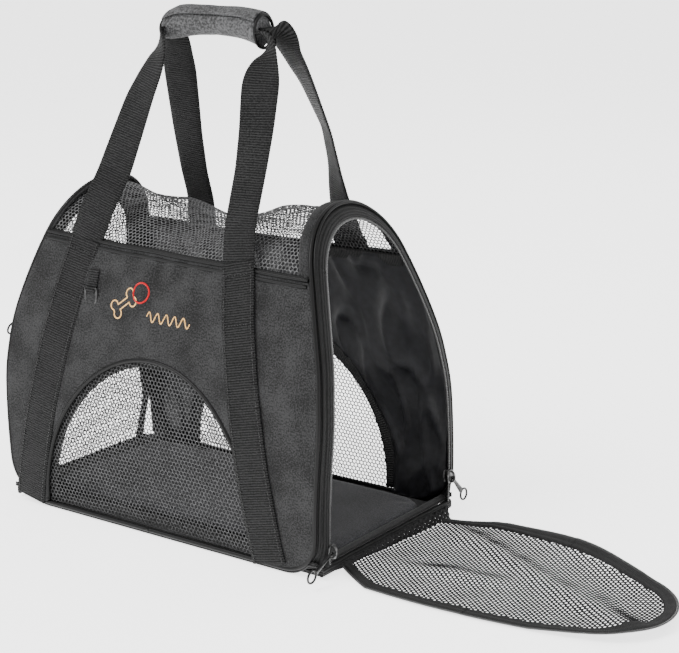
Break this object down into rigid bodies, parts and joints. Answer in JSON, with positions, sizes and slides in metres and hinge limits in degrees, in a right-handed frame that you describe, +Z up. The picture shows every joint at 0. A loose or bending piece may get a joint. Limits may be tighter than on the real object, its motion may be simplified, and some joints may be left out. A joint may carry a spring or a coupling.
{
  "type": "pet carrier bag",
  "caption": "Soft-sided carrier bag with arched ends, mesh windows and crown, zipped mesh end doors, webbing straps joined by a padded grip, and a floor pad.",
  "frame": {"origin": "middle of the bottom skin, on the surface the bag stands on", "axes": "+X along the bag towards its open right end, +Y from front to back, +Z up"},
  "size_m": [0.6909, 0.2664, 0.4854],
  "materials": {
    "base_skin": "coated woven cloth",
    "board": "stiff sheet",
    "pad_fabric": "brushed cloth over foam",
    "panel_fabric": "speckled woven polyester",
    "lining": "shiny nylon",
    "mesh": "open polyester net",
    "piping": "satin cloth",
    "binding": "ribbed tape",
    "zip_teeth": "moulded coil",
    "zip_metal": "satin dark paint",
    "spring_wire": "drawn wire",
    "webbing": "ribbed webbing",
    "ring_metal": "satin dark paint",
    "grip_fabric": "speckled woven polyester",
    "grip_foam": "soft foam"
  },
  "bodies": {
    "bag": {"base_fabric": "base_skin", "base_board": "board", "front_panel": "panel_fabric", "back_panel": "panel_fabric", "front_lining": "lining", "back_lining": "lining", "front_window_mesh": "mesh", "back_window_mesh": "mesh", "front_window_piping": "piping", "back_window_piping": "piping", "top_mesh": "mesh", "front_seam_piping": "piping", "back_seam_piping": "piping", "right_hoop_wire": "spring_wire", "right_hoop_piping": "piping", "right_zip_tape": "binding", "right_zip_coil": "zip_teeth", "right_sill": "binding", "left_hoop_wire": "spring_wire", "left_hoop_piping": "piping", "left_zip_tape": "binding", "left_zip_coil": "zip_teeth", "left_sill": "binding", "front_left_strap": "webbing", "front_right_strap": "webbing", "back_left_strap": "webbing", "back_right_strap": "webbing", "front_left_leg": "webbing", "front_right_leg": "webbing", "back_left_leg": "webbing", "back_right_leg": "webbing", "d_ring_tabs": "webbing"},
    "right_door": {"right_door_mesh": "mesh", "right_door_binding": "binding", "right_door_coil": "zip_teeth"},
    "right_door_top": {"right_door_top_mesh": "mesh", "right_door_top_binding": "binding", "right_door_top_coil": "zip_teeth"},
    "left_door": {"left_door_mesh": "mesh", "left_door_binding": "binding", "left_door_coil": "zip_teeth"},
    "left_door_top": {"left_door_top_mesh": "mesh", "left_door_top_binding": "binding", "left_door_top_coil": "zip_teeth"},
    "handle": {"grip_wrap": "grip_fabric", "grip_padding": "grip_foam", "grip_webbing": "webbing"},
    "grip_flap": {"grip_flap": "grip_fabric"},
    "right_front_slider": {"right_front_slider": "zip_metal"},
    "right_front_pull": {"right_front_pull": "zip_metal"},
    "right_back_slider": {"right_back_slider": "zip_metal"},
    "right_back_pull": {"right_back_pull": "zip_metal"},
    "left_lower_slider": {"left_lower_slider": "zip_metal"},
    "left_lower_pull": {"left_lower_pull": "zip_metal"},
    "left_upper_slider": {"left_upper_slider": "zip_metal"},
    "left_upper_pull": {"left_upper_pull": "zip_metal"},
    "d_ring_front": {"d_ring_front": "ring_metal"},
    "d_ring_back": {"d_ring_back": "ring_metal"},
    "floor_pad": {"floor_pad": "pad_fabric"}
  },
  "joints": [
    {"name": "right_door", "type": "hinge", "parent": "bag", "child": "right_door", "pos_m": [0.19486, 0, 0.00294], "axis": [-0.0523, -0.9973, 0.0523], "range_deg": [0, 90.16]},
    {"name": "right_door_fold", "type": "hinge", "parent": "right_door", "child": "right_door_top", "pos_m": [0.34907, -0.01621, 0.0014], "axis": [-0.1045, -0.9945, 0], "range_deg": [0, 18.44]},
    {"name": "left_door", "type": "hinge", "parent": "bag", "child": "left_door", "pos_m": [-0.17049, 0, 0.00753], "axis": [0, -1, 0], "range_deg": [0, 84.58]},
    {"name": "left_door_fold", "type": "hinge", "parent": "left_door", "child": "left_door_top", "pos_m": [-0.1904, 0, 0.158], "axis": [0, -1, 0], "range_deg": [0, 23.2]},
    {"name": "handle_drop", "type": "slide", "parent": "bag", "child": "handle", "axis": [0, 0, -1], "range_m": [0, 0.125], "deforming": ["front_left_leg", "front_right_leg", "back_left_leg", "back_right_leg"]},
    {"name": "grip_flap_hinge", "type": "hinge", "parent": "handle", "child": "grip_flap", "pos_m": [-0.002, -0.00561, 0.48541], "axis": [-1, 0, 0], "range_deg": [0, 110]},
    {"name": "right_front_slide", "type": "slide", "parent": "bag", "child": "right_front_slider", "axis": [0, 0.0434, 0.9991], "range_m": [0, 0.09]},
    {"name": "right_front_pull_swing", "type": "hinge", "parent": "right_front_slider", "child": "right_front_pull", "pos_m": [0.2026, -0.10109, 0.02397], "axis": [0, -0.3667, 0.9303], "range_deg": [0, 150]},
    {"name": "right_back_slide", "type": "slide", "parent": "bag", "child": "right_back_slider", "axis": [0, -0.0659, 0.9978], "range_m": [0, 0.09]},
    {"name": "right_back_pull_swing", "type": "hinge", "parent": "right_back_slider", "child": "right_back_pull", "pos_m": [0.2026, 0.10175, 0.03589], "axis": [0, -0.722, -0.6918], "range_deg": [0, 150]},
    {"name": "left_lower_slide", "type": "slide", "parent": "bag", "child": "left_lower_slider", "axis": [0.2963, 0.2393, 0.9246], "range_m": [-0.028, 0]},
    {"name": "left_lower_pull_swing", "type": "hinge", "parent": "left_lower_slider", "child": "left_lower_pull", "pos_m": [-0.18491, -0.08037, 0.19545], "axis": [-0.0731, 0.9709, -0.2279], "range_deg": [0, 150]},
    {"name": "left_upper_slide", "type": "slide", "parent": "bag", "child": "left_upper_slider", "axis": [0.2939, 0.2702, 0.9168], "range_m": [0, 0.03]},
    {"name": "left_upper_pull_swing", "type": "hinge", "parent": "left_upper_slider", "child": "left_upper_pull", "pos_m": [-0.1764, -0.07303, 0.222], "axis": [-0.0825, 0.9628, -0.2574], "range_deg": [-150, 0]},
    {"name": "d_ring_front_swing", "type": "hinge", "parent": "bag", "child": "d_ring_front", "pos_m": [-0.084, -0.08791, 0.22271], "axis": [-1, 0, 0], "range_deg": [0, 140]},
    {"name": "d_ring_back_swing", "type": "hinge", "parent": "bag", "child": "d_ring_back", "pos_m": [0.065, 0.08791, 0.22271], "axis": [1, 0, 0], "range_deg": [0, 140]},
    {"name": "floor_pad_slide", "type": "slide", "parent": "bag", "child": "floor_pad", "axis": [-1, 0, 0], "range_m": [-0.36, 0]}
  ],
  "couplings": [
    {"joint": "right_door_fold", "follows": "right_door", "ratio": 0.20448},
    {"joint": "left_door_fold", "follows": "left_door", "ratio": 0.27424}
  ]
}
